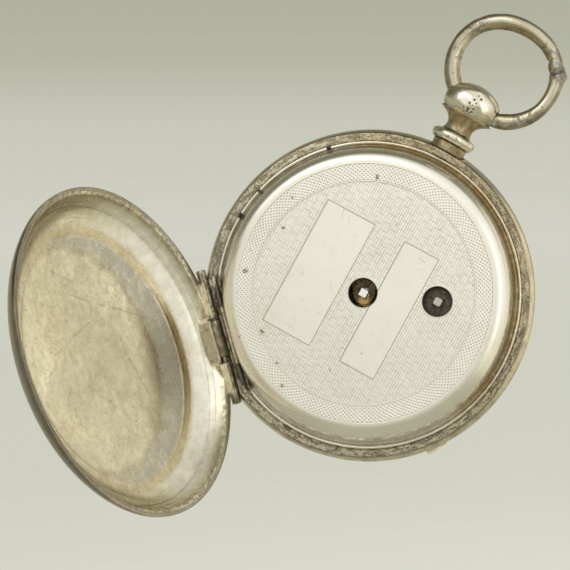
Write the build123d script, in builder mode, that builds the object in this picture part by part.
from build123d import *
import math
import os

# Hunter pocket watch with a key-wound movement.  Millimetres.
# +Z runs to the pendant, +Y out of the back, the dial faces -Y.
# Plan positions (u, v) are given as seen from the back: u to the right (-X), v up (+Z).
# Plan angles are measured from u towards v.
# Heights run out of the back (+Y) from the middle of the case band.
# Profiles of turned parts are (radius, height) unless marked otherwise.

os.makedirs("parts", exist_ok=True)

# ---------------------------------------------------------------------------
# driving dimensions
# ---------------------------------------------------------------------------
# case band
BAND_R = 23.3  # widest radius
RIM_R = 22.6  # radius of both rims
RIM_H = 1.75  # height of each rim from the middle
SEAT_R = 21.6  # inside of the sloping ledge
LEDGE_H = 0.95
CUVETTE_SEAT_H = 0.55  # where the inner cover's lip lands
BORE_R = 20.05  # movement bore
FRONT_BORE_R = 20.75
STEP_H = -0.35  # step that the plate's flange lands on

# back cover and front lid
COVER_R = 22.58
COVER_OPEN = 110.4  # degrees the back cover stands open
HINGE_R = 21.86  # outer hinge axes from the centre
HINGE_H = 1.59
KNUCKLE_R = 0.68
KNUCKLE_TROUGH_R = KNUCKLE_R + 0.14
HINGE_PIN_R = 0.30

# inner cover (cuvette)
CUVETTE_FLAT = 19.6  # flat on the hinge side
CUVETTE_TOP = 4.71
CUVETTE_T = 0.35
CUVETTE_KNUCKLE_R = 0.38
CUVETTE_PIN_R = 0.18

# hinge lines: (plan angle, distance from the centre, height)
REAR_HINGE_DIR = 225.2
FRONT_HINGE_DIR = 270.0
BACK_HINGE = (REAR_HINGE_DIR, HINGE_R, HINGE_H)
CUVETTE_HINGE = (REAR_HINGE_DIR, 20.35, 1.35)
FRONT_HINGE = (FRONT_HINGE_DIR, HINGE_R, -HINGE_H)

LIP_DIR = -37.0  # thumb lip of the bezel

# pendant and bow
HEAD_V = 30.1  # centre of the pendant's head
HEAD_HALF_LENGTH = 4.14  # half axes of the head's ellipse
HEAD_HALF_WIDTH = 2.95
HEAD_END_X = 3.75  # where the flat ends cut the ellipse
BOW_R, BOW_WIRE_R = 7.35, 1.05
BOW_CENTRE = (1.9, 36.4)
BOW_END_X = 4.9
BOW_PIN_R, BOW_HOLE_R = 0.70, 0.76
PUSH_R = 0.80

# movement
PLATE_R, PLATE_TOP, PLATE_BOTTOM = 19.95, 0.85, -0.65
DIAL_R, DIAL_TOP, DIAL_BOTTOM = 20.6, -1.35, -1.95
PIVOT_R, PIVOT_HOLE_R = 0.14, 0.17
JEWEL_R, JEWEL_SEAT_DEPTH = 0.45, 0.5
SCREW_R = 0.4  # shanks of the bridge screws
SQUARE = 1.3  # across flats of both key squares
SQUARE_TOP = 4.24

# plan positions of the movement
CENTRE = (0.0, 0.0)
BARREL = (9.65, 3.86)
THIRD = (4.16, -5.43)
FOURTH = (0.0, -9.2)  # also the seconds hand
ESCAPE = (-4.55, -10.0)
BALANCE = (-9.3, -6.5)
PALLET_SHARE = 3.0 / math.dist(ESCAPE, BALANCE)  # 3.0 from the escape wheel to the balance
PALLET = (
    ESCAPE[0] + (BALANCE[0] - ESCAPE[0]) * PALLET_SHARE,
    ESCAPE[1] + (BALANCE[1] - ESCAPE[1]) * PALLET_SHARE,
)
MINUTE_DIST = 4.2
MINUTE = (
    MINUTE_DIST * math.cos(math.radians(100)),
    MINUTE_DIST * math.sin(math.radians(100)),
)


# ---------------------------------------------------------------------------
# planes and hinges
# ---------------------------------------------------------------------------
def rear(height, u=0.0, v=0.0):
    """Plan plane at a height, seen from the back."""
    return Plane(origin=(-u, height, v), x_dir=(-1, 0, 0), z_dir=(0, 1, 0))


def hinge_directions(degrees):
    """Outward and along-hinge directions at a plan angle."""
    angle = math.radians(degrees)
    outward = Vector(-math.cos(angle), 0, math.sin(angle))
    along = Vector(math.sin(angle), 0, math.cos(angle))
    return outward, along


def span(line, start, end):
    """Plane square to a line at its start, and the signed extrusion that reaches its end.

    Local x points outward and local y towards the back.
    """
    degrees, distance, height = line
    outward, along = hinge_directions(degrees)
    origin = outward * distance + along * start + Vector(0, height, 0)
    return Plane(origin=origin, x_dir=outward, z_dir=-along), start - end


def closed(plane):
    return plane


def opened(plane):
    """A plane of the back cover, carried round the hinge to the open position."""
    outward, axis = hinge_directions(REAR_HINGE_DIR)
    hinge_point = outward * HINGE_R + Vector(0, HINGE_H, 0)
    angle = math.radians(COVER_OPEN)

    def turn(vector):
        return (
            vector * math.cos(angle)
            + axis.cross(vector) * math.sin(angle)
            + axis * (axis.dot(vector) * (1 - math.cos(angle)))
        )

    return Plane(
        origin=turn(plane.origin - hinge_point) + hinge_point,
        x_dir=turn(plane.x_dir),
        z_dir=turn(plane.z_dir),
    )


def rod(line, start, end, radius, mode=Mode.ADD, place=closed):
    """Add or cut a round rod along a hinge line in the part being built."""
    plane, length = span(line, start, end)
    with BuildSketch(place(plane)) as section:
        Circle(radius)
    extrude(section.sketch, amount=length, mode=mode)


# ---------------------------------------------------------------------------
# outlines
# ---------------------------------------------------------------------------
def polar(radius, angle):
    return (radius * math.cos(angle), radius * math.sin(angle))


def ring_pts(radius, count, centre=(0.0, 0.0)):
    pts = [polar(radius, 2 * math.pi * i / count) for i in range(count)]
    return [(centre[0] + x, centre[1] + y) for x, y in pts]


def sector_pts(r_in, r_out, start, end, count=24):
    """Ring sector between two angles in degrees."""
    angles = [math.radians(start + (end - start) * i / count) for i in range(count + 1)]
    return [polar(r_out, a) for a in angles] + [polar(r_in, a) for a in reversed(angles)]


def bar_pts(first, first_r, second, second_r, count=14):
    """Two round ends joined by their outer tangents."""
    base = toward(first, second)
    tangent = math.acos((first_r - second_r) / math.dist(first, second))
    pts = []
    for i in range(count + 1):
        x, y = polar(first_r, base + tangent + (2 * math.pi - 2 * tangent) * i / count)
        pts.append((first[0] + x, first[1] + y))
    for i in range(count + 1):
        x, y = polar(second_r, base - tangent + 2 * tangent * i / count)
        pts.append((second[0] + x, second[1] + y))
    return pts


def gear_pts(teeth, module, phase):
    """Involute outline with a tooth centred on the phase angle."""
    play, addendum, dedendum = 0.10, 0.82, 1.2  # in modules
    pressure_angle = math.radians(24.0)
    steps = 3  # per flank
    pitch_r = teeth * module / 2
    base_r = pitch_r * math.cos(pressure_angle)
    tip_r, root_r = pitch_r + addendum * module, pitch_r - dedendum * module
    involute = math.tan(pressure_angle) - pressure_angle
    half_tooth = math.pi / (2 * teeth) - play * module / (2 * pitch_r)
    start_r = max(base_r, root_r)
    flank = []  # (radius, half angle of the tooth there)
    for i in range(steps + 1):
        radius = start_r + (tip_r - start_r) * i / steps
        slope = math.acos(min(1.0, base_r / radius))
        flank.append((radius, half_tooth - (math.tan(slope) - slope - involute)))
    if root_r < base_r:
        flank.insert(0, (root_r, min(flank[0][1], math.pi / teeth * 0.92)))
    pts = []
    for tooth in range(teeth):
        middle = phase + 2 * math.pi * tooth / teeth
        pts += [polar(radius, middle - half) for radius, half in flank]
        pts += [polar(radius, middle + half) for radius, half in reversed(flank)]
    return pts


def saw_pts(teeth, r_tip, r_root, lean=0.12):
    pitch = 2 * math.pi / teeth
    pts = []
    for tooth in range(teeth):
        pts.append(polar(r_root, pitch * tooth))
        pts.append(polar(r_tip, pitch * tooth + lean * pitch))
    return pts


def spiral_pts(r_start, r_end, turns, thickness, start_angle=0.0):
    count = int(turns * 26)
    middle = [
        (
            r_start + (r_end - r_start) * i / count,
            start_angle + 2 * math.pi * turns * i / count,
        )
        for i in range(count + 1)
    ]
    outer = [polar(r + thickness / 2, a) for r, a in middle]
    inner = [polar(r - thickness / 2, a) for r, a in middle]
    return outer + inner[::-1]


def spoke_gaps(r_rim, r_hub, arms, width, start=0.0):
    """Openings between the arms of a wheel."""
    gaps = []
    count = 10
    at_rim, at_hub = math.asin(width / 2 / r_rim), math.asin(width / 2 / r_hub)
    step = 2 * math.pi / arms
    for i in range(arms):
        first = start + step * i
        last = first + step
        pts = [
            polar(r_rim, first + at_rim + (step - 2 * at_rim) * k / count)
            for k in range(count + 1)
        ]
        pts += [
            polar(r_hub, last - at_hub - (step - 2 * at_hub) * k / count)
            for k in range(count + 1)
        ]
        gaps.append(pts)
    return gaps


def aimed(pts, angle):
    """Points turned about the origin."""
    cos, sin = math.cos(angle), math.sin(angle)
    return [(x * cos - y * sin, x * sin + y * cos) for x, y in pts]


def toward(here, there):
    return math.atan2(there[1] - here[1], there[0] - here[0])


def gap_phase(wheel, pinion, leaves):
    """Phase of a pinion so that a gap faces its wheel."""
    return toward(pinion, wheel) + math.pi / leaves


# ---------------------------------------------------------------------------
# building helpers
# ---------------------------------------------------------------------------
def fill(points, mode=Mode.ADD):
    """Fill a closed polygon in the sketch being built."""
    with BuildLine() as outline:
        Polyline(points, close=True)
    make_face(outline.edges(), mode=mode)


def save(piece, name):
    piece.part.label = name
    export_step(piece.part, f"parts/{name}.step")


def stack(name, place, layers, cuts=()):
    """A piece of flat layers on one plan position.

    A layer is (bottom height, thickness, outline, *openings); cuts are made last.
    """
    with BuildPart() as piece:
        for mode, group in ((Mode.ADD, layers), (Mode.SUBTRACT, cuts)):
            for height, thickness, outline, *openings in group:
                with BuildSketch(rear(height, *place)):
                    fill(outline)
                    for opening in openings:
                        fill(opening, Mode.SUBTRACT)
                extrude(amount=thickness, mode=mode)
    save(piece, name)


def hinge_pin(name, line, start, end, radius):
    with BuildPart() as pin:
        rod(line, start, end, radius)
    save(pin, name)


# ---------------------------------------------------------------------------
# case middle
# ---------------------------------------------------------------------------
BAND_SECTION = [
    (RIM_R, RIM_H), (SEAT_R, LEDGE_H), (SEAT_R, CUVETTE_SEAT_H), (BORE_R, CUVETTE_SEAT_H),
    (BORE_R, STEP_H), (FRONT_BORE_R, STEP_H), (FRONT_BORE_R, -1.42), (21.4, -1.42),
    (21.65, -RIM_H), (RIM_R, -RIM_H),
]
# stepped hole for the push rod and the neck of the pendant: (radius, v)
PENDANT_HOLE = [
    (0, 21.0), (PUSH_R + 0.05, 21.0), (PUSH_R + 0.05, 22.38), (1.42, 22.38), (1.42, 22.74),
    (2.22, 22.74), (2.22, 24.2), (0, 24.2),
]
# troughs for the moving knuckles: (hinge, start, end)
KNUCKLE_TROUGHS = [
    (BACK_HINGE, -10.2, -3.42),
    (BACK_HINGE, 2.72, 10.4),
    (FRONT_HINGE, -5.9, -2.52),
    (FRONT_HINGE, 2.52, 5.9),
]
# spring channels: (start angle, end angle, depth)
SPRING_CHANNELS = [(80, 140, 2.0), (292, 340, 1.7)]
CUVETTE_WEB_H = 0.84  # webs that carry the fixed knuckles of the cuvette

with BuildPart() as case_middle:
    with BuildSketch(Plane.XY):
        with BuildLine():
            Polyline(*BAND_SECTION)
            ThreePointArc(BAND_SECTION[-1], (BAND_R, 0), BAND_SECTION[0])
        make_face()
    revolve(axis=Axis.Y)
    for line, start, end in KNUCKLE_TROUGHS:
        rod(line, start, end, KNUCKLE_TROUGH_R, Mode.SUBTRACT)
    # fixed knuckles
    rod(BACK_HINGE, -3.4, 2.7, KNUCKLE_R)
    rod(FRONT_HINGE, -2.5, 2.5, KNUCKLE_R)
    for start, end in ((-8.7, -4.25), (4.25, 8.4)):
        plane, length = span(CUVETTE_HINGE, start, end)
        with BuildSketch(plane):
            Circle(CUVETTE_KNUCKLE_R)
            with Locations((0, -CUVETTE_WEB_H / 2)):
                Rectangle(2 * CUVETTE_KNUCKLE_R, CUVETTE_WEB_H)
        extrude(amount=length)
    # hinge bores
    rod(BACK_HINGE, -3.5, 2.9, HINGE_PIN_R, Mode.SUBTRACT)
    rod(FRONT_HINGE, -2.6, 2.6, HINGE_PIN_R, Mode.SUBTRACT)
    rod(CUVETTE_HINGE, -9.4, 9.0, CUVETTE_PIN_R, Mode.SUBTRACT)
    with BuildSketch(Plane.XZ):
        fill(PENDANT_HOLE)
    revolve(axis=Axis.Z, mode=Mode.SUBTRACT)
    for start, end, depth in SPRING_CHANNELS:
        with BuildSketch(rear(-1.8)):
            fill(sector_pts(20.6, 21.95, start, end))
        extrude(amount=depth, mode=Mode.SUBTRACT)
    # pass for the thumb lip of the bezel
    plane, length = span((LIP_DIR, 22.9, -1.95), -1.75, 1.75)
    with BuildSketch(plane):
        Rectangle(2.6, 0.98)
    extrude(amount=length, mode=Mode.SUBTRACT)
save(case_middle, "case_middle")

# ---------------------------------------------------------------------------
# pendant, push piece and bow
# ---------------------------------------------------------------------------
# (radius, v)
PENDANT_NECK = [
    (0, 22.4), (1.4, 22.4), (1.4, 22.75), (2.2, 22.75), (2.2, 24.05), (2.75, 24.1),
    (3.05, 24.4), (3.1, 24.8), (3.0, 25.15), (2.6, 25.4), (2.05, 25.5), (1.85, 25.9),
    (1.75, 26.5), (1.85, 27.0), (2.2, 27.5), (2.2, HEAD_V), (0, HEAD_V),
]
PUSH_CAP = [(0, 32.35), (1.28, 32.35), (1.28, 32.62), (0.9, 32.86), (0.45, 32.95), (0, 32.98)]


def head_radius(x):
    return HEAD_HALF_WIDTH * math.sqrt(1 - (x / HEAD_HALF_LENGTH) ** 2)


with BuildPart() as pendant:
    with BuildSketch(Plane.XZ):
        fill(PENDANT_NECK)
    revolve(axis=Axis.Z)
    # head, turned about the line between the bow's pins
    with BuildSketch(Plane(origin=(0, 0, HEAD_V), x_dir=(1, 0, 0), z_dir=(0, -1, 0))):
        with BuildLine():
            end_x, end_r = HEAD_END_X, head_radius(HEAD_END_X)
            mid_x, mid_r = HEAD_END_X * 0.55, head_radius(HEAD_END_X * 0.55)
            Line((-end_x, 0), (-end_x, end_r))
            Spline(
                (-end_x, end_r), (-mid_x, mid_r), (0, HEAD_HALF_WIDTH),
                (mid_x, mid_r), (end_x, end_r),
            )
            Line((end_x, end_r), (end_x, 0))
            Line((end_x, 0), (-end_x, 0))
        make_face()
    revolve(axis=Axis((0, 0, HEAD_V), (1, 0, 0)))
    for side in (-1, 1):
        end_plane = Plane(
            origin=(side * HEAD_END_X, 0, HEAD_V), x_dir=(0, 1, 0), z_dir=(side, 0, 0)
        )
        with BuildSketch(end_plane):
            Circle(BOW_HOLE_R)
        extrude(amount=-1.5, mode=Mode.SUBTRACT)
    # bore for the push rod, and recess for its cap
    with BuildSketch(Plane.XY.offset(22.0)):
        Circle(PUSH_R + 0.03)
    extrude(amount=12.0, mode=Mode.SUBTRACT)
    with BuildSketch(Plane.XY.offset(31.9)):
        Circle(1.33)
    extrude(amount=2.0, mode=Mode.SUBTRACT)
save(pendant, "pendant")

with BuildPart() as push_piece:
    with BuildSketch(Plane.XY.offset(21.78)):
        Circle(PUSH_R)
    extrude(amount=10.82)
    with BuildSketch(Plane.XZ):
        fill(PUSH_CAP)
    revolve(axis=Axis.Z)
save(push_piece, "push_piece")


def bow_point(angle):
    x, y = polar(BOW_R, angle)
    return (BOW_CENTRE[0] + x, BOW_CENTRE[1] + y)


# The arc of the bow runs from its left end over the top to its right end, seen from the back.
bow_left_angle = math.radians(205)
bow_left = bow_point(bow_left_angle)
with BuildPart() as bow:
    with BuildLine(rear(0)) as bow_path:
        Spline(
            (-BOW_END_X, HEAD_V),
            bow_left,
            tangents=((0, 1), (math.sin(bow_left_angle), -math.cos(bow_left_angle))),
        )
        ThreePointArc(bow_left, bow_point(math.radians(70)), bow_point(math.radians(-64.5)))
    with BuildSketch(Plane(origin=(BOW_END_X, 0, HEAD_V), x_dir=(1, 0, 0), z_dir=(0, 0, 1))):
        Circle(BOW_WIRE_R)
    sweep(path=bow_path.wires()[0], transition=Transition.ROUND)
    with Locations((BOW_END_X, 0, HEAD_V), (-5.02, 0, HEAD_V - 0.28)):
        Sphere(BOW_WIRE_R)
    for side in (1, -1):
        pin_plane = Plane(
            origin=(side * BOW_END_X, 0, HEAD_V), x_dir=(0, 1, 0), z_dir=(-side, 0, 0)
        )
        with BuildSketch(pin_plane):
            Circle(BOW_PIN_R)
        extrude(amount=2.3)
save(bow, "bow")

# ---------------------------------------------------------------------------
# back cover, standing open, and front lid, closed over the crystal
# ---------------------------------------------------------------------------
LID_BORE_R = 0.33
BACK_OUTSIDE = [
    (COVER_R, 1.78), (22.45, 2.5), (21.9, 3.35), (20.95, 4.35), (19.5, 5.35),
    (17.1, 6.22), (12.0, 6.62), (6.0, 6.76), (0, 6.8),
]
BACK_INSIDE = [
    (0, 6.35), (6.0, 6.31), (12.0, 6.17), (16.88, 5.79), (19.21, 5.01), (20.58, 3.98),
]
FRONT_OUTSIDE = [
    (COVER_R, -1.78), (22.45, -2.4), (21.9, -3.1), (20.95, -3.95), (19.5, -4.8),
    (17.1, -5.5), (12.0, -5.85), (6.0, -5.97), (0, -6.0),
]
FRONT_INSIDE = [
    (0, -5.55), (6.0, -5.52), (12.0, -5.4), (16.88, -5.07), (19.21, -4.42), (20.58, -3.55),
]


def hinged_lid(
    name, outside, inside, hinge, knuckles, bore, relief_height, place=closed, lip_pass=False
):
    """A domed lid with two knuckles either side of the case's own knuckle."""
    direction, distance, height = hinge
    side = 1 if height > 0 else -1
    rim_inside = (21.63, side * 2.07)
    base = place(Plane.XY)
    with BuildPart() as lid:
        with BuildSketch(base):
            with BuildLine():
                Spline(*outside)
                Line(outside[-1], inside[0])
                Spline(*inside)
                Line(inside[-1], rim_inside)
                Line(rim_inside, outside[0])
            make_face()
        revolve(axis=Axis(base.origin, base.y_dir))
        # flat along the hinge, deeper at the case's own knuckle
        reliefs = (
            (21.3, -9.0, 9.0),
            (distance - KNUCKLE_R - 0.08, knuckles[0][1], knuckles[1][0]),
        )
        for flat, start, end in reliefs:
            plane, length = span((direction, flat, side * 1.0), start, end)
            with BuildSketch(place(plane)):
                with Locations((1.5, side * 1.0)):
                    Rectangle(3.0, relief_height)
            extrude(amount=length, mode=Mode.SUBTRACT)
        for start, end in knuckles:
            plane, length = span(hinge, start, end)
            with BuildSketch(place(plane)):
                Circle(KNUCKLE_R)
                with Locations((-0.38, side * 0.5)):
                    Rectangle(0.52, 0.6)
            extrude(amount=length)
        rod(hinge, *bore, LID_BORE_R, Mode.SUBTRACT, place)
        if lip_pass:
            with BuildSketch(rear(-2.35)):
                fill(sector_pts(21.0, 24.0, LIP_DIR - 4.3, LIP_DIR + 4.3))
            extrude(amount=0.7, mode=Mode.SUBTRACT)
    save(lid, name)


hinged_lid(
    "back_cover", BACK_OUTSIDE, BACK_INSIDE, BACK_HINGE,
    knuckles=((-9.4, -3.45), (2.75, 9.7)),
    bore=(-9.5, 9.9),
    relief_height=3.4,
    place=opened,
)
hinge_pin("back_cover_hinge_pin", BACK_HINGE, -9.3, 9.6, HINGE_PIN_R)

hinged_lid(
    "front_lid", FRONT_OUTSIDE, FRONT_INSIDE, FRONT_HINGE,
    knuckles=((-5.4, -2.55), (2.55, 5.4)),
    bore=(-5.5, 5.5),
    relief_height=3.2,
    lip_pass=True,
)
hinge_pin("front_lid_hinge_pin", FRONT_HINGE, -5.3, 5.3, HINGE_PIN_R)

# ---------------------------------------------------------------------------
# inner cover (cuvette) with two key holes
# ---------------------------------------------------------------------------
SETTING_HOLE_R, WINDING_HOLE_R = 2.0, 2.05
HALF_CHORD = 30.0  # half length of the cuts along the flat
CUVETTE_ROOM = [
    (0, 0.2), (20.95, 0.2), (20.95, 0.93), (20.15, 0.97), (19.86, 1.3), (19.75, 1.9),
    (19.68, 2.9), (19.42, 3.6), (18.95, 4.05), (18.4, 4.28),
    (17.9, CUVETTE_TOP - CUVETTE_T), (0, CUVETTE_TOP - CUVETTE_T),
]

# the hollow inside the cuvette
with BuildPart(mode=Mode.PRIVATE) as cuvette_room:
    with BuildSketch(Plane.XY):
        fill(CUVETTE_ROOM)
    revolve(axis=Axis.Y)
    plane, length = span(
        (REAR_HINGE_DIR, CUVETTE_FLAT - CUVETTE_T, 2.0), -HALF_CHORD, HALF_CHORD
    )
    with BuildSketch(plane):
        with Locations((5, 0)):
            Rectangle(10, 12)
    extrude(amount=length, mode=Mode.SUBTRACT)

with BuildPart() as cuvette:
    with BuildSketch(Plane.XY):
        with BuildLine():
            Spline((18.0, CUVETTE_TOP), (18.75, 4.6), (19.45, 4.15), (19.95, 3.3), (20.1, 2.2))
            Spline((20.1, 2.2), (20.3, 1.35), (20.75, 1.12))
            Spline((20.75, 1.12), (21.1, 1.26), (21.42, 1.1), (21.5, 0.8))
            Polyline((21.5, 0.8), (21.5, 0.6), (0, 0.6), (0, CUVETTE_TOP), (18.0, CUVETTE_TOP))
        make_face()
    revolve(axis=Axis.Y)
    plane, length = span((REAR_HINGE_DIR, CUVETTE_FLAT, 2.0), -HALF_CHORD, HALF_CHORD)
    with BuildSketch(plane):
        with Locations((5, 0)):
            Rectangle(10, 12)
    extrude(amount=length, mode=Mode.SUBTRACT)
    add(cuvette_room.part, mode=Mode.SUBTRACT)
    # the straight wall by the hinge ends just above the movement plate
    with BuildSketch(rear(-0.2)):
        Circle(20.6)
    extrude(amount=1.16, mode=Mode.SUBTRACT)
    with BuildSketch(rear(CUVETTE_TOP - 1.0)):
        Circle(SETTING_HOLE_R)
        with Locations(BARREL):
            Circle(WINDING_HOLE_R)
    extrude(amount=1.2, mode=Mode.SUBTRACT)
    plane, length = span(CUVETTE_HINGE, -4.2, 4.2)
    with BuildSketch(plane):
        Circle(CUVETTE_KNUCKLE_R)
        with Locations((-0.42, -CUVETTE_KNUCKLE_R / 2)):
            Rectangle(0.85, CUVETTE_KNUCKLE_R)
    extrude(amount=length)
    rod(CUVETTE_HINGE, -4.4, 4.4, CUVETTE_PIN_R + 0.02, Mode.SUBTRACT)
save(cuvette, "cuvette")
hinge_pin("cuvette_hinge_pin", CUVETTE_HINGE, -8.6, 8.3, CUVETTE_PIN_R)

# ---------------------------------------------------------------------------
# bezel and crystal
# ---------------------------------------------------------------------------
BEZEL_SECTION = [
    (19.3, -2.0), (20.66, -2.0), (20.82, -1.86), (20.82, -1.45), (21.3, -1.45),
    (21.3, -2.15), (20.95, -2.6), (20.4, -2.95), (19.9, -3.05), (19.6, -3.0),
    (19.6, -2.76), (19.78, -2.76), (19.78, -2.35), (19.3, -2.35),
]
CRYSTAL_OUTSIDE = [
    (19.5, -2.74), (18.4, -3.05), (15.5, -3.55), (10.5, -4.05), (5.2, -4.32), (0, -4.4),
]
CRYSTAL_INSIDE = [
    (0, -3.9), (5.2, -3.83), (10.4, -3.58), (15.3, -3.1), (18.2, -2.6), (19.0, -2.37),
]

with BuildPart() as bezel:
    with BuildSketch(Plane.XY):
        fill(BEZEL_SECTION)
    revolve(axis=Axis.Y)
    # thumb lip
    with BuildSketch(rear(-2.0)):
        fill(sector_pts(21.1, 23.75, LIP_DIR - 3.9, LIP_DIR + 3.6, 8))
    extrude(amount=0.36)
    # clear of the case's front knuckle
    rod(FRONT_HINGE, -9.6, 9.6, KNUCKLE_R + 0.06, Mode.SUBTRACT)
    # clear of the lock spring's nose
    with BuildSketch(rear(-2.6)):
        fill(sector_pts(20.8, 22.0, 82.0, 98.0, 8))
    extrude(amount=1.6, mode=Mode.SUBTRACT)
save(bezel, "bezel")

with BuildPart() as crystal:
    with BuildSketch(Plane.XY):
        with BuildLine():
            Polyline(CRYSTAL_INSIDE[-1], (19.74, -2.37), (19.74, -2.74), CRYSTAL_OUTSIDE[0])
            Spline(*CRYSTAL_OUTSIDE)
            Line(CRYSTAL_OUTSIDE[-1], CRYSTAL_INSIDE[0])
            Spline(*CRYSTAL_INSIDE)
        make_face()
    revolve(axis=Axis.Y)
save(crystal, "crystal")

# ---------------------------------------------------------------------------
# springs in the front channels of the band
# layers: (bottom height, thickness, outline): blade, then thick end and nose
# ---------------------------------------------------------------------------
stack("lock_spring", CENTRE, [
    (-1.2, 1.1, sector_pts(21.1, 21.6, 84, 136, 26)),
    (-1.3, 1.25, sector_pts(21.0, 21.72, 132, 138.5, 6)),
    (-2.2, 1.1, sector_pts(21.1, 21.42, 86.5, 93.5, 6)),
])
# blade, then nose
stack("lift_spring", CENTRE, [
    (-1.25, 1.1, sector_pts(21.1, 21.6, 294, 338, 26)),
    (-1.65, 0.5, sector_pts(21.45, 21.6, 294, 298, 6)),
])

# ---------------------------------------------------------------------------
# bridges and cocks
# ---------------------------------------------------------------------------
BARREL_BRIDGE_TOP, BARREL_BRIDGE_UNDERSIDE = 3.1, 2.15
BARREL_BRIDGE_FEET = ((4.0, 14.8), (13.4, -8.0))

# name: pivot, foot, top, underside of the arm, arm radius at the foot, arm radius at
# the pivot, radius of the post under the foot, radius of the hole at the pivot
COCKS = {
    "centre_bridge": (CENTRE, (-6.5, 12.0), 3.5, 2.6, 3.0, 1.5, 2.8, 0.80),
    "third_cock": (THIRD, (11.0, -13.0), 3.6, 3.0, 2.0, 1.3, 1.9, JEWEL_R),
    "fourth_cock": (FOURTH, (4.2, -16.6), 3.6, 3.0, 1.9, 1.2, 1.8, JEWEL_R),
    "escape_cock": (ESCAPE, (-2.2, -17.0), 2.35, 1.95, 1.5, 0.9, 1.4, JEWEL_R),
    "pallet_cock": (PALLET, (-10.0, -13.6), 1.85, 1.5, 1.3, 0.7, 1.25, JEWEL_R),
    "balance_cock": (BALANCE, (-15.0, 5.0), 3.9, 3.3, 2.6, 1.9, 2.4, JEWEL_R),
}
# (place, height of the bridge's top)
BRIDGE_SCREWS = [(foot, BARREL_BRIDGE_TOP) for foot in BARREL_BRIDGE_FEET]
BRIDGE_SCREWS += [(foot, top) for _, foot, top, *_ in COCKS.values()]

with BuildPart() as barrel_bridge:
    with BuildSketch(rear(BARREL_BRIDGE_UNDERSIDE)):
        fill(sector_pts(12.0, 18.5, -33, 80, 40))
        fill(bar_pts(BARREL, 3.6, (15.0, 6.0), 3.3))
    extrude(amount=BARREL_BRIDGE_TOP - BARREL_BRIDGE_UNDERSIDE)
    # feet
    with BuildSketch(rear(PLATE_TOP)):
        fill(sector_pts(12.1, 18.5, 72, 80, 6))
        fill(sector_pts(14.2, 18.5, -33, -25, 6))
    extrude(amount=BARREL_BRIDGE_UNDERSIDE - PLATE_TOP)
    with BuildSketch(rear(0)):
        with Locations(BARREL):
            Circle(0.90)
        with Locations(*BARREL_BRIDGE_FEET):
            Circle(SCREW_R)
    extrude(amount=5.0, mode=Mode.SUBTRACT)
save(barrel_bridge, "barrel_bridge")


def build_cock(name, pivot, foot, top, underside, foot_r, pivot_r, post_r, hole_r):
    with BuildPart() as cock:
        with BuildSketch(rear(underside)):
            fill(bar_pts(foot, foot_r, pivot, pivot_r))
        extrude(amount=top - underside)
        with BuildSketch(rear(PLATE_TOP)):
            fill(ring_pts(post_r, 36, foot))
        extrude(amount=underside - PLATE_TOP)
        with BuildSketch(rear(0)):
            with Locations(pivot):
                Circle(hole_r)
            with Locations(foot):
                Circle(SCREW_R)
        extrude(amount=5.0, mode=Mode.SUBTRACT)
    save(cock, name)


for cock_name, cock_sizes in COCKS.items():
    build_cock(cock_name, *cock_sizes)

with BuildPart() as bridge_screws:
    for place, top in BRIDGE_SCREWS:
        # head, shank and slot
        with BuildSketch(rear(top)):
            with Locations(place):
                Circle(0.72)
        extrude(amount=0.22)
        with BuildSketch(rear(top - 0.55)):
            with Locations(place):
                Circle(SCREW_R)
        extrude(amount=0.56)
        with BuildSketch(rear(top + 0.1)):
            with Locations(place):
                Rectangle(1.6, 0.16)
        extrude(amount=0.3, mode=Mode.SUBTRACT)
save(bridge_screws, "bridge_screws")

# (cock, thickness of the upper jewel, hole radius of the lower jewel)
JEWELS = [
    ("third_cock", 0.55, PIVOT_HOLE_R),
    ("fourth_cock", 0.55, 0.22),
    ("escape_cock", 0.4, PIVOT_HOLE_R),
    ("pallet_cock", 0.35, PIVOT_HOLE_R),
    ("balance_cock", 0.55, PIVOT_HOLE_R),
]
with BuildPart() as jewels:
    for cock_name, thickness, lower_hole_r in JEWELS:
        place, _, top, *_ = COCKS[cock_name]
        with BuildSketch(rear(PLATE_TOP - JEWEL_SEAT_DEPTH)):
            with Locations(place):
                Circle(JEWEL_R)
                Circle(lower_hole_r, mode=Mode.SUBTRACT)
        extrude(amount=0.4)
        with BuildSketch(rear(top - thickness)):
            with Locations(place):
                Circle(JEWEL_R)
                Circle(PIVOT_HOLE_R, mode=Mode.SUBTRACT)
        extrude(amount=thickness - 0.02)
save(jewels, "jewels")

# ---------------------------------------------------------------------------
# main plate
# ---------------------------------------------------------------------------
CASE_SCREWS = [polar(19.2, math.radians(angle)) for angle in (98, 278)]

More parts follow.
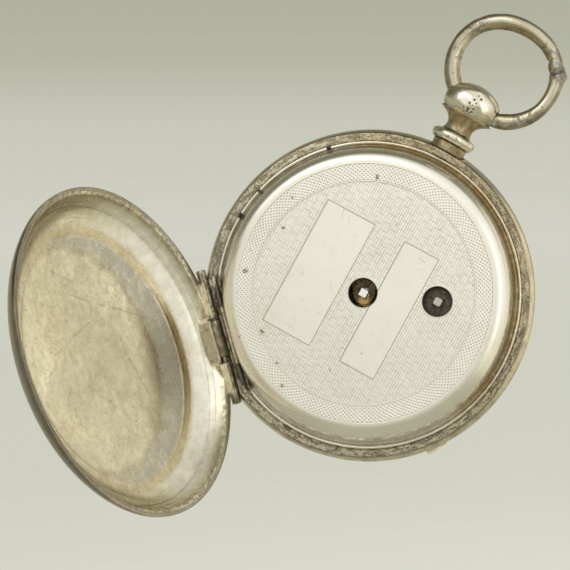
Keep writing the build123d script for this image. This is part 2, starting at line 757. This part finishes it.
with BuildPart() as main_plate:
    with BuildSketch(rear(PLATE_BOTTOM)):
        Circle(PLATE_R)
    extrude(amount=PLATE_TOP - PLATE_BOTTOM)
    # flange
    with BuildSketch(rear(PLATE_BOTTOM)):
        Circle(DIAL_R)
    extrude(amount=0.28)
    # sink for the barrel
    with BuildSketch(rear(-0.25)):
        with Locations(BARREL):
            Circle(8.85)
    extrude(amount=3.0, mode=Mode.SUBTRACT)
    # centre and barrel bores
    with BuildSketch(rear(PLATE_BOTTOM - 0.1)):
        Circle(0.94)
        with Locations(BARREL):
            Circle(0.74)
    extrude(amount=4.0, mode=Mode.SUBTRACT)
    # jewel seats, and the holes under them
    with BuildSketch(rear(PLATE_TOP - JEWEL_SEAT_DEPTH)):
        with Locations(THIRD, FOURTH, ESCAPE, PALLET, BALANCE):
            Circle(JEWEL_R)
    extrude(amount=3.0, mode=Mode.SUBTRACT)
    with BuildSketch(rear(PLATE_BOTTOM - 0.1)):
        with Locations(FOURTH):
            Circle(0.30)
        with Locations(THIRD, ESCAPE, PALLET, BALANCE):
            Circle(0.25)
    extrude(amount=3.0, mode=Mode.SUBTRACT)
    # seats of the bridge screws
    with BuildSketch(rear(PLATE_BOTTOM + 0.3)):
        with Locations(*[place for place, _ in BRIDGE_SCREWS]):
            Circle(SCREW_R)
    extrude(amount=3.0, mode=Mode.SUBTRACT)
    # post of the minute wheel
    with BuildSketch(rear(-1.22)):
        with Locations(MINUTE):
            Circle(0.28)
    extrude(amount=0.7)
    # counterbores and holes of the case screws at the rim
    for height, radius in ((0.56, 1.2), (-0.1, 0.37)):
        with BuildSketch(rear(height)):
            with Locations(*CASE_SCREWS):
                Circle(radius)
        extrude(amount=1.6, mode=Mode.SUBTRACT)
save(main_plate, "main_plate")

with BuildPart() as case_screws:
    # heads, then shanks
    for height, radius, length in ((0.58, 1.1, 0.26), (-0.05, 0.35, 0.65)):
        with BuildSketch(rear(height)):
            with Locations(*CASE_SCREWS):
                Circle(radius)
        extrude(amount=length)
    with BuildSketch(rear(0.72)):
        with Locations(*CASE_SCREWS):
            Rectangle(2.4, 0.2)
    extrude(amount=0.3, mode=Mode.SUBTRACT)
save(case_screws, "case_screws")

# ---------------------------------------------------------------------------
# tooth counts and modules
# ---------------------------------------------------------------------------
BARREL_TEETH, CENTRE_LEAVES = 70, 10
CENTRE_TEETH, THIRD_LEAVES = 64, 8
THIRD_TEETH, FOURTH_LEAVES = 60, 8
FOURTH_TEETH, ESCAPE_LEAVES = 70, 7
CANNON_TEETH, MINUTE_TEETH = 12, 36
MINUTE_LEAVES, HOUR_TEETH = 10, 40
RATCHET_TEETH = 36
ESCAPE_TEETH = 15
BARREL_MODULE = 2 * math.dist(BARREL, CENTRE) / (BARREL_TEETH + CENTRE_LEAVES)
CENTRE_MODULE = 2 * math.dist(CENTRE, THIRD) / (CENTRE_TEETH + THIRD_LEAVES)
THIRD_MODULE = 2 * math.dist(THIRD, FOURTH) / (THIRD_TEETH + FOURTH_LEAVES)
FOURTH_MODULE = 2 * math.dist(FOURTH, ESCAPE) / (FOURTH_TEETH + ESCAPE_LEAVES)
CANNON_MODULE = 2 * MINUTE_DIST / (CANNON_TEETH + MINUTE_TEETH)
HOUR_MODULE = 2 * MINUTE_DIST / (MINUTE_LEAVES + HOUR_TEETH)

# ---------------------------------------------------------------------------
# barrel group
# layers from here on: (bottom height, thickness, outline, *openings)
# ---------------------------------------------------------------------------
stack(
    "barrel", BARREL,
    layers=[
        (1.35, 0.4, gear_pts(BARREL_TEETH, BARREL_MODULE, toward(BARREL, CENTRE))),
        (-0.15, 1.6, ring_pts(8.6, 72)),
    ],
    cuts=[(0.05, 3.0, ring_pts(8.25, 72)), (-0.3, 1.0, ring_pts(0.79, 32))],
)
stack("barrel_cover", BARREL, [(1.5, 0.3, ring_pts(8.24, 72), ring_pts(0.93, 32))])
stack("mainspring", BARREL, [(0.12, 1.3, spiral_pts(3.2, 8.05, 8.0, 0.16))])


def key_arbor(name, place, layers, square_bottom):
    """Round layers of (bottom height, length, outline) under a chamfered key square."""
    with BuildPart() as arbor:
        for height, length, outline in layers:
            with BuildSketch(rear(height, *place)):
                fill(outline)
            extrude(amount=length)
        with BuildSketch(rear(square_bottom, *place)):
            Rectangle(SQUARE, SQUARE)
        extrude(amount=SQUARE_TOP - square_bottom)
        chamfer(arbor.faces().sort_by(Axis.Y)[-1].edges(), 0.12)
    save(arbor, name)


key_arbor(
    "barrel_arbor", BARREL,
    [
        (-0.6, 0.8, ring_pts(0.70, 32)),
        (0.1, 1.3, ring_pts(2.4, 48)),
        (1.3, 1.85, ring_pts(0.86, 32)),
    ],
    square_bottom=3.0,
)

CLICK_BOTTOM, CLICK_T = 3.16, 0.34  # also the ratchet wheel
CLICK = (BARREL[0] + 1.9, BARREL[1] + 4.6)

with BuildPart() as ratchet_wheel:
    with BuildSketch(rear(CLICK_BOTTOM, *BARREL)):
        fill(saw_pts(RATCHET_TEETH, 3.1, 2.75))
        Rectangle(SQUARE, SQUARE, mode=Mode.SUBTRACT)
    extrude(amount=CLICK_T)
save(ratchet_wheel, "ratchet_wheel")

with BuildPart() as click:
    with BuildSketch(rear(CLICK_BOTTOM)):
        fill(bar_pts(CLICK, 0.62, (BARREL[0] + 0.1, BARREL[1] + 3.42), 0.2, 10))
        with Locations(CLICK):
            Circle(0.32, mode=Mode.SUBTRACT)
    extrude(amount=CLICK_T)
save(click, "click")

with BuildPart() as click_screw:
    # shank, head and slot
    for height, radius, length in ((3.1, 0.28, 0.44), (3.53, 0.55, 0.2)):
        with BuildSketch(rear(height)):
            with Locations(CLICK):
                Circle(radius)
        extrude(amount=length)
    with BuildSketch(rear(3.63)):
        with Locations(CLICK):
            Rectangle(1.3, 0.14)
    extrude(amount=0.3, mode=Mode.SUBTRACT)
save(click_screw, "click_screw")

# (u, v) from the barrel
CLICK_SPRING = [
    (-0.4, 4.65), (0.2, 4.75), (0.9, 5.7), (3.9, 6.3),
    (3.9, 6.75), (0.7, 6.15), (-0.1, 4.95), (-0.5, 4.85),
]
with BuildPart() as click_spring:
    with BuildSketch(rear(3.12, *BARREL)):
        fill(CLICK_SPRING)
        with Locations((4.3, 6.6)):
            Circle(0.6)
    extrude(amount=0.3)
save(click_spring, "click_spring")

# ---------------------------------------------------------------------------
# going train
# ---------------------------------------------------------------------------
centre_leaves = gear_pts(
    CENTRE_LEAVES, BARREL_MODULE, gap_phase(BARREL, CENTRE, CENTRE_LEAVES)
)
stack(
    "centre_arbor", CENTRE,
    layers=[
        (0.95, 1.08, centre_leaves),
        (-0.62, 2.9, ring_pts(0.90, 32)),
        (2.2, 1.25, ring_pts(0.76, 32)),
    ],
    cuts=[(-0.7, 5.0, ring_pts(0.50, 32))],
)
stack("centre_wheel", CENTRE, [(
    2.06, 0.26,
    gear_pts(CENTRE_TEETH, CENTRE_MODULE, toward(CENTRE, THIRD)),
    ring_pts(0.905, 32),
    *spoke_gaps(5.2, 1.7, 4, 0.7),
)])

third_leaves = gear_pts(THIRD_LEAVES, CENTRE_MODULE, gap_phase(CENTRE, THIRD, THIRD_LEAVES))
stack("third_pinion", THIRD, [
    (1.9, 0.62, third_leaves),
    (0.88, 2.1, ring_pts(0.34, 20)),
    (0.4, 3.05, ring_pts(PIVOT_R, 16)),
])
stack("third_wheel", THIRD, [(
    2.56, 0.22,
    gear_pts(THIRD_TEETH, THIRD_MODULE, toward(THIRD, FOURTH)),
    ring_pts(0.345, 20),
    *spoke_gaps(4.2, 1.1, 4, 0.55, 0.5),
)])

fourth_leaves = gear_pts(
    FOURTH_LEAVES, THIRD_MODULE, gap_phase(THIRD, FOURTH, FOURTH_LEAVES)
)
stack("fourth_pinion", FOURTH, [
    (2.35, 0.6, fourth_leaves),
    (0.88, 2.08, ring_pts(0.30, 20)),
    (-2.2, 3.2, ring_pts(0.18, 16)),
    (2.6, 0.85, ring_pts(PIVOT_R, 16)),
])
stack("fourth_wheel", FOURTH, [(
    1.6, 0.18,
    gear_pts(FOURTH_TEETH, FOURTH_MODULE, toward(FOURTH, ESCAPE)),
    ring_pts(0.305, 20),
    *spoke_gaps(3.6, 1.0, 4, 0.5, 0.2),
)])

# ---------------------------------------------------------------------------
# escapement
# ---------------------------------------------------------------------------
# one escape tooth: (radius, angle past the start of the tooth)
ESCAPE_R = 2.6
ESCAPE_TOOTH = [
    (2.0, 0.0), (2.35, 0.12), (ESCAPE_R, 0.20), (ESCAPE_R, 0.26), (2.25, 0.24), (2.0, 0.27),
]
escape_leaves = gear_pts(
    ESCAPE_LEAVES, FOURTH_MODULE, gap_phase(FOURTH, ESCAPE, ESCAPE_LEAVES)
)
escape_outline = [
    polar(radius, 2 * math.pi * i / ESCAPE_TEETH + angle)
    for i in range(ESCAPE_TEETH)
    for radius, angle in ESCAPE_TOOTH
]
stack("escape_pinion", ESCAPE, [
    (1.45, 0.42, escape_leaves),
    (0.88, 1.02, ring_pts(0.24, 20)),
    (0.4, 1.85, ring_pts(PIVOT_R, 16)),
])
stack("escape_wheel", ESCAPE, [(
    1.06, 0.2, escape_outline, ring_pts(0.245, 20), *spoke_gaps(1.7, 0.65, 4, 0.3),
)])

# x towards the balance, y across; two pallets at the sides and the notch at the far end
FORK_OUTLINE = [
    (-0.3, -0.45), (-0.42, -1.1), (-0.42, -1.62), (0.0, -1.62), (0.12, -1.0), (0.3, -0.4),
    (0.6, -0.16), (1.75, -0.14), (1.95, -0.34), (2.05, -0.34), (2.05, -0.16), (1.9, -0.12),
    (1.9, 0.12), (2.05, 0.16), (2.05, 0.34), (1.95, 0.34), (1.75, 0.14), (0.6, 0.16),
    (0.3, 0.4), (0.12, 1.0), (0.0, 1.62), (-0.42, 1.62), (-0.42, 1.1), (-0.3, 0.45),
]
stack("pallet_fork", PALLET, [
    (1.05, 0.25, aimed(FORK_OUTLINE, toward(PALLET, BALANCE))),
    (0.4, 1.4, ring_pts(PIVOT_R, 16)),
])

# ---------------------------------------------------------------------------
# balance
# ---------------------------------------------------------------------------
BALANCE_R = 6.9
BALANCE_SCREW_COUNT = 14
stack("balance_wheel", BALANCE, [(
    2.5, 0.42, ring_pts(BALANCE_R, 72), ring_pts(0.445, 20),
    *spoke_gaps(6.2, 1.0, 3, 0.6, 0.4),
)])

with BuildPart() as balance_screws:
    for i in range(BALANCE_SCREW_COUNT):
        angle = 2 * math.pi * i / BALANCE_SCREW_COUNT + 0.1
        outward = Vector(-math.cos(angle), 0, math.sin(angle))
        origin = Vector(-BALANCE[0], 2.71, BALANCE[1]) + outward * BALANCE_R
        with BuildSketch(Plane(origin=origin, x_dir=(0, 1, 0), z_dir=outward)):
            RegularPolygon(0.20, 8)
        extrude(amount=0.4)
save(balance_screws, "balance_screws")

stack("balance_staff", BALANCE, [
    (0.88, 2.4, ring_pts(0.30, 20)),
    (2.3, 0.66, ring_pts(0.44, 20)),
    (0.4, 3.4, ring_pts(PIVOT_R, 16)),
])
# disc, and a pin on the side of the pallet fork
stack("roller", BALANCE, [
    (1.5, 0.16, ring_pts(0.95, 32), ring_pts(0.305, 20)),
    (1.34, 0.2, ring_pts(0.1, 10, polar(0.75, toward(BALANCE, PALLET)))),
])
stack("hairspring", BALANCE, [(3.02, 0.16, spiral_pts(0.85, 3.4, 9.0, 0.07, 1.0))])

with BuildPart() as regulator:
    with BuildSketch(rear(3.93)):
        fill(bar_pts(BALANCE, 1.15, (BALANCE[0] + 4.6, BALANCE[1] + 5.4), 0.16))
        with Locations(BALANCE):
            Circle(0.7, mode=Mode.SUBTRACT)
    extrude(amount=0.14)
save(regulator, "regulator")

with BuildPart() as balance_endpiece:
    for height, radius, thickness in ((3.9, 0.67, 0.2), (4.08, 0.95, 0.1)):
        with BuildSketch(rear(height)):
            with Locations(BALANCE):
                Circle(radius)
        extrude(amount=thickness)
save(balance_endpiece, "balance_endpiece")

# ---------------------------------------------------------------------------
# hand setting and motion work
# ---------------------------------------------------------------------------
key_arbor("setting_arbor", CENTRE, [(-2.86, 6.5, ring_pts(0.45, 32))], square_bottom=3.56)

cannon_bore = ring_pts(0.452, 32)
cannon_gear = gear_pts(CANNON_TEETH, CANNON_MODULE, gap_phase(MINUTE, CENTRE, CANNON_TEETH))
stack("cannon_pinion", CENTRE, [
    (-0.98, 0.28, cannon_gear, cannon_bore),
    (-2.78, 1.85, ring_pts(0.72, 32), cannon_bore),
])

minute_bore = ring_pts(0.32, 20)
minute_gear = gear_pts(MINUTE_TEETH, CANNON_MODULE, toward(MINUTE, CENTRE))
minute_leaves = gear_pts(MINUTE_LEAVES, HOUR_MODULE, gap_phase(CENTRE, MINUTE, MINUTE_LEAVES))
stack("minute_wheel", MINUTE, [
    (-0.95, 0.2, minute_gear, minute_bore),
    (-1.26, 0.32, minute_leaves, minute_bore),
])

hour_bore = ring_pts(0.76, 32)
stack("hour_wheel", CENTRE, [
    (-1.24, 0.2, gear_pts(HOUR_TEETH, HOUR_MODULE, toward(CENTRE, MINUTE)), hour_bore),
    (-2.38, 1.2, ring_pts(1.1, 32), hour_bore),
])

# ---------------------------------------------------------------------------
# dial and hands
# ---------------------------------------------------------------------------
SECONDS_HOLE_R = 0.4
DIAL_FEET = ((12.5, 12.5), (-16.5, -2.0), (3.0, 17.3))

with BuildPart() as dial:
    with BuildSketch(rear(DIAL_BOTTOM)):
        Circle(DIAL_R)
        Circle(1.25, mode=Mode.SUBTRACT)
        with Locations(FOURTH):
            Circle(SECONDS_HOLE_R, mode=Mode.SUBTRACT)
    extrude(amount=DIAL_TOP - DIAL_BOTTOM)
    # sunk seconds dial
    with BuildSketch(rear(DIAL_BOTTOM - 0.05)):
        with Locations(FOURTH):
            Circle(4.4)
            Circle(SECONDS_HOLE_R, mode=Mode.SUBTRACT)
    extrude(amount=0.12, mode=Mode.SUBTRACT)
    with BuildSketch(rear(DIAL_TOP - 0.05)):
        with Locations(*DIAL_FEET):
            Circle(0.45)
    extrude(amount=0.7)
save(dial, "dial")


def blade_pts(length, tail, width):
    """Spade-like blade pointing up, with a tail below the hub."""
    # right edge from the tail to the tip
    right = [
        (width * 0.55, -tail), (width * 0.45, length * 0.62), (width * 1.6, length * 0.70),
        (width * 1.5, length * 0.76), (width * 0.5, length * 0.83),
        (width * 0.35, length * 0.86), (0.02, length),
    ]
    return right + [(-x, y) for x, y in reversed(right)]


def build_hand(name, place, height, thickness, blade, angle, hub, bore):
    """A flat blade turned by an angle in degrees, with a hub and a bore."""
    with BuildPart() as hand:
        with BuildSketch(rear(height, *place)):
            fill(aimed(blade, math.radians(angle)))
            fill(hub)
            fill(bore, Mode.SUBTRACT)
        extrude(amount=thickness)
    save(hand, name)


build_hand(
    "minute_hand", CENTRE, height=-2.72, thickness=0.14,
    blade=blade_pts(length=15.6, tail=3.2, width=0.62), angle=-60,
    hub=ring_pts(1.25, 32), bore=ring_pts(0.725, 32),
)
build_hand(
    "hour_hand", CENTRE, height=-2.36, thickness=0.14,
    blade=blade_pts(length=10.6, tail=2.4, width=0.8), angle=55,
    hub=ring_pts(1.7, 32), bore=ring_pts(1.105, 32),
)
build_hand(
    "seconds_hand", FOURTH, height=-2.14, thickness=0.12,
    blade=[(-0.12, -1.5), (0.12, -1.5), (0.03, 3.8), (-0.03, 3.8)], angle=20,
    hub=ring_pts(0.42, 20), bore=ring_pts(0.183, 16),
)
